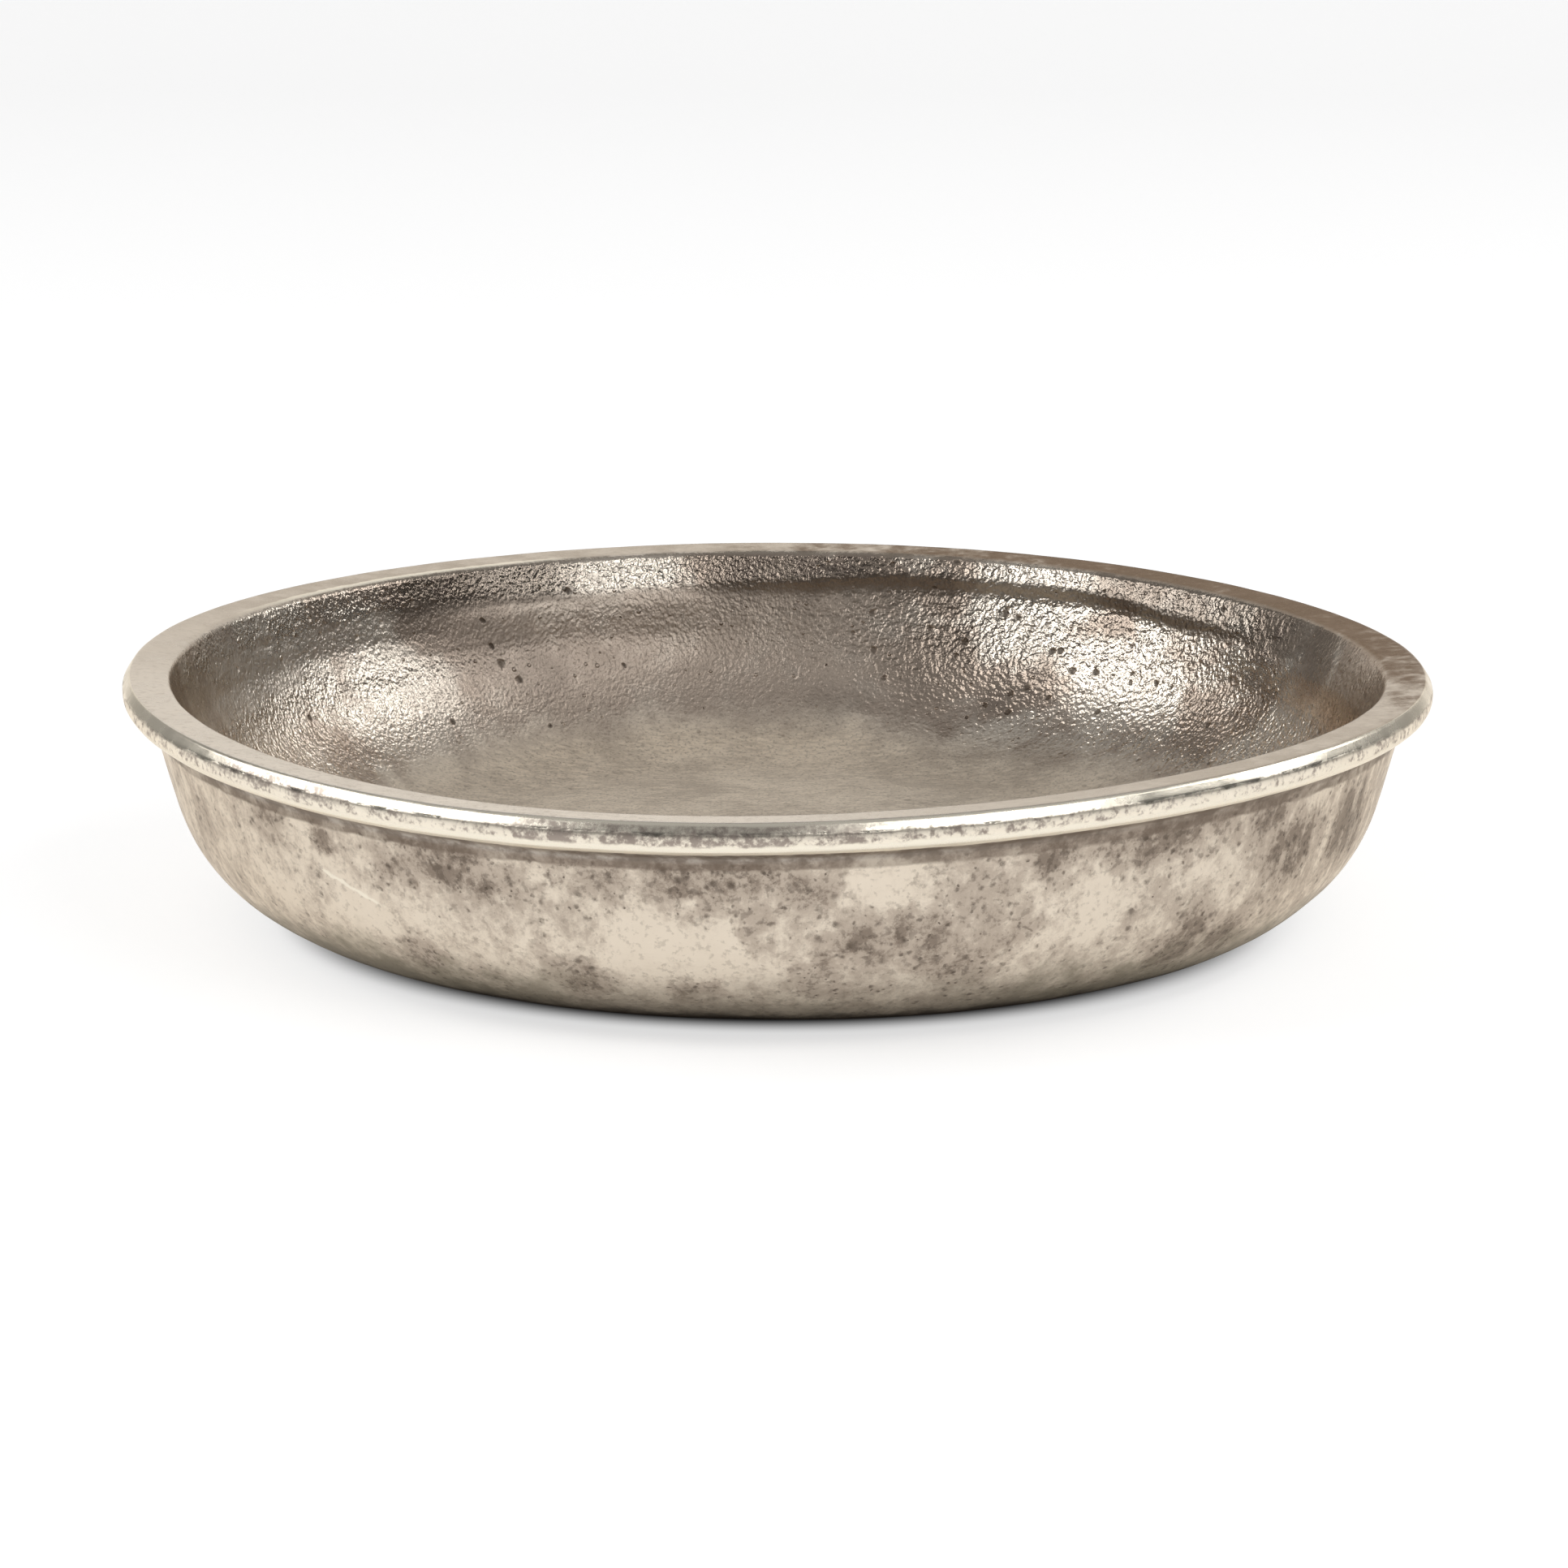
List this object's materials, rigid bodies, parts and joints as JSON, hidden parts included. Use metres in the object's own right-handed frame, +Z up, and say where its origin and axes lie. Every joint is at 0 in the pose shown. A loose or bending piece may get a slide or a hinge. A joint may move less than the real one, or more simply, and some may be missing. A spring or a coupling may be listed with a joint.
{
  "type": "metal dish",
  "caption": "Shallow round cast metal dish with a flared lip, a rough as-cast bowl, a smoothed outside and felt pads under its base, for serving, display or candles.",
  "frame": {"origin": "centre of the dish on the surface that its felt pads stand on", "axes": "+Z up along the axis that the casting is turned about, -Y towards the viewer of the picture, +X to the viewer's right"},
  "size_m": [0.2, 0.2, 0.0379],
  "materials": {
    "cast_metal": "aged cast metal, warm silver: as-cast and pitted inside, satin on the lip and the outside, brown patina in the low spots",
    "felt": "dark pressed felt"
  },
  "bodies": {
    "root": {"dish_casting": "cast_metal", "felt_pad_front_left": "felt", "felt_pad_front_right": "felt", "felt_pad_back_right": "felt", "felt_pad_back_left": "felt"}
  },
  "joints": []
}
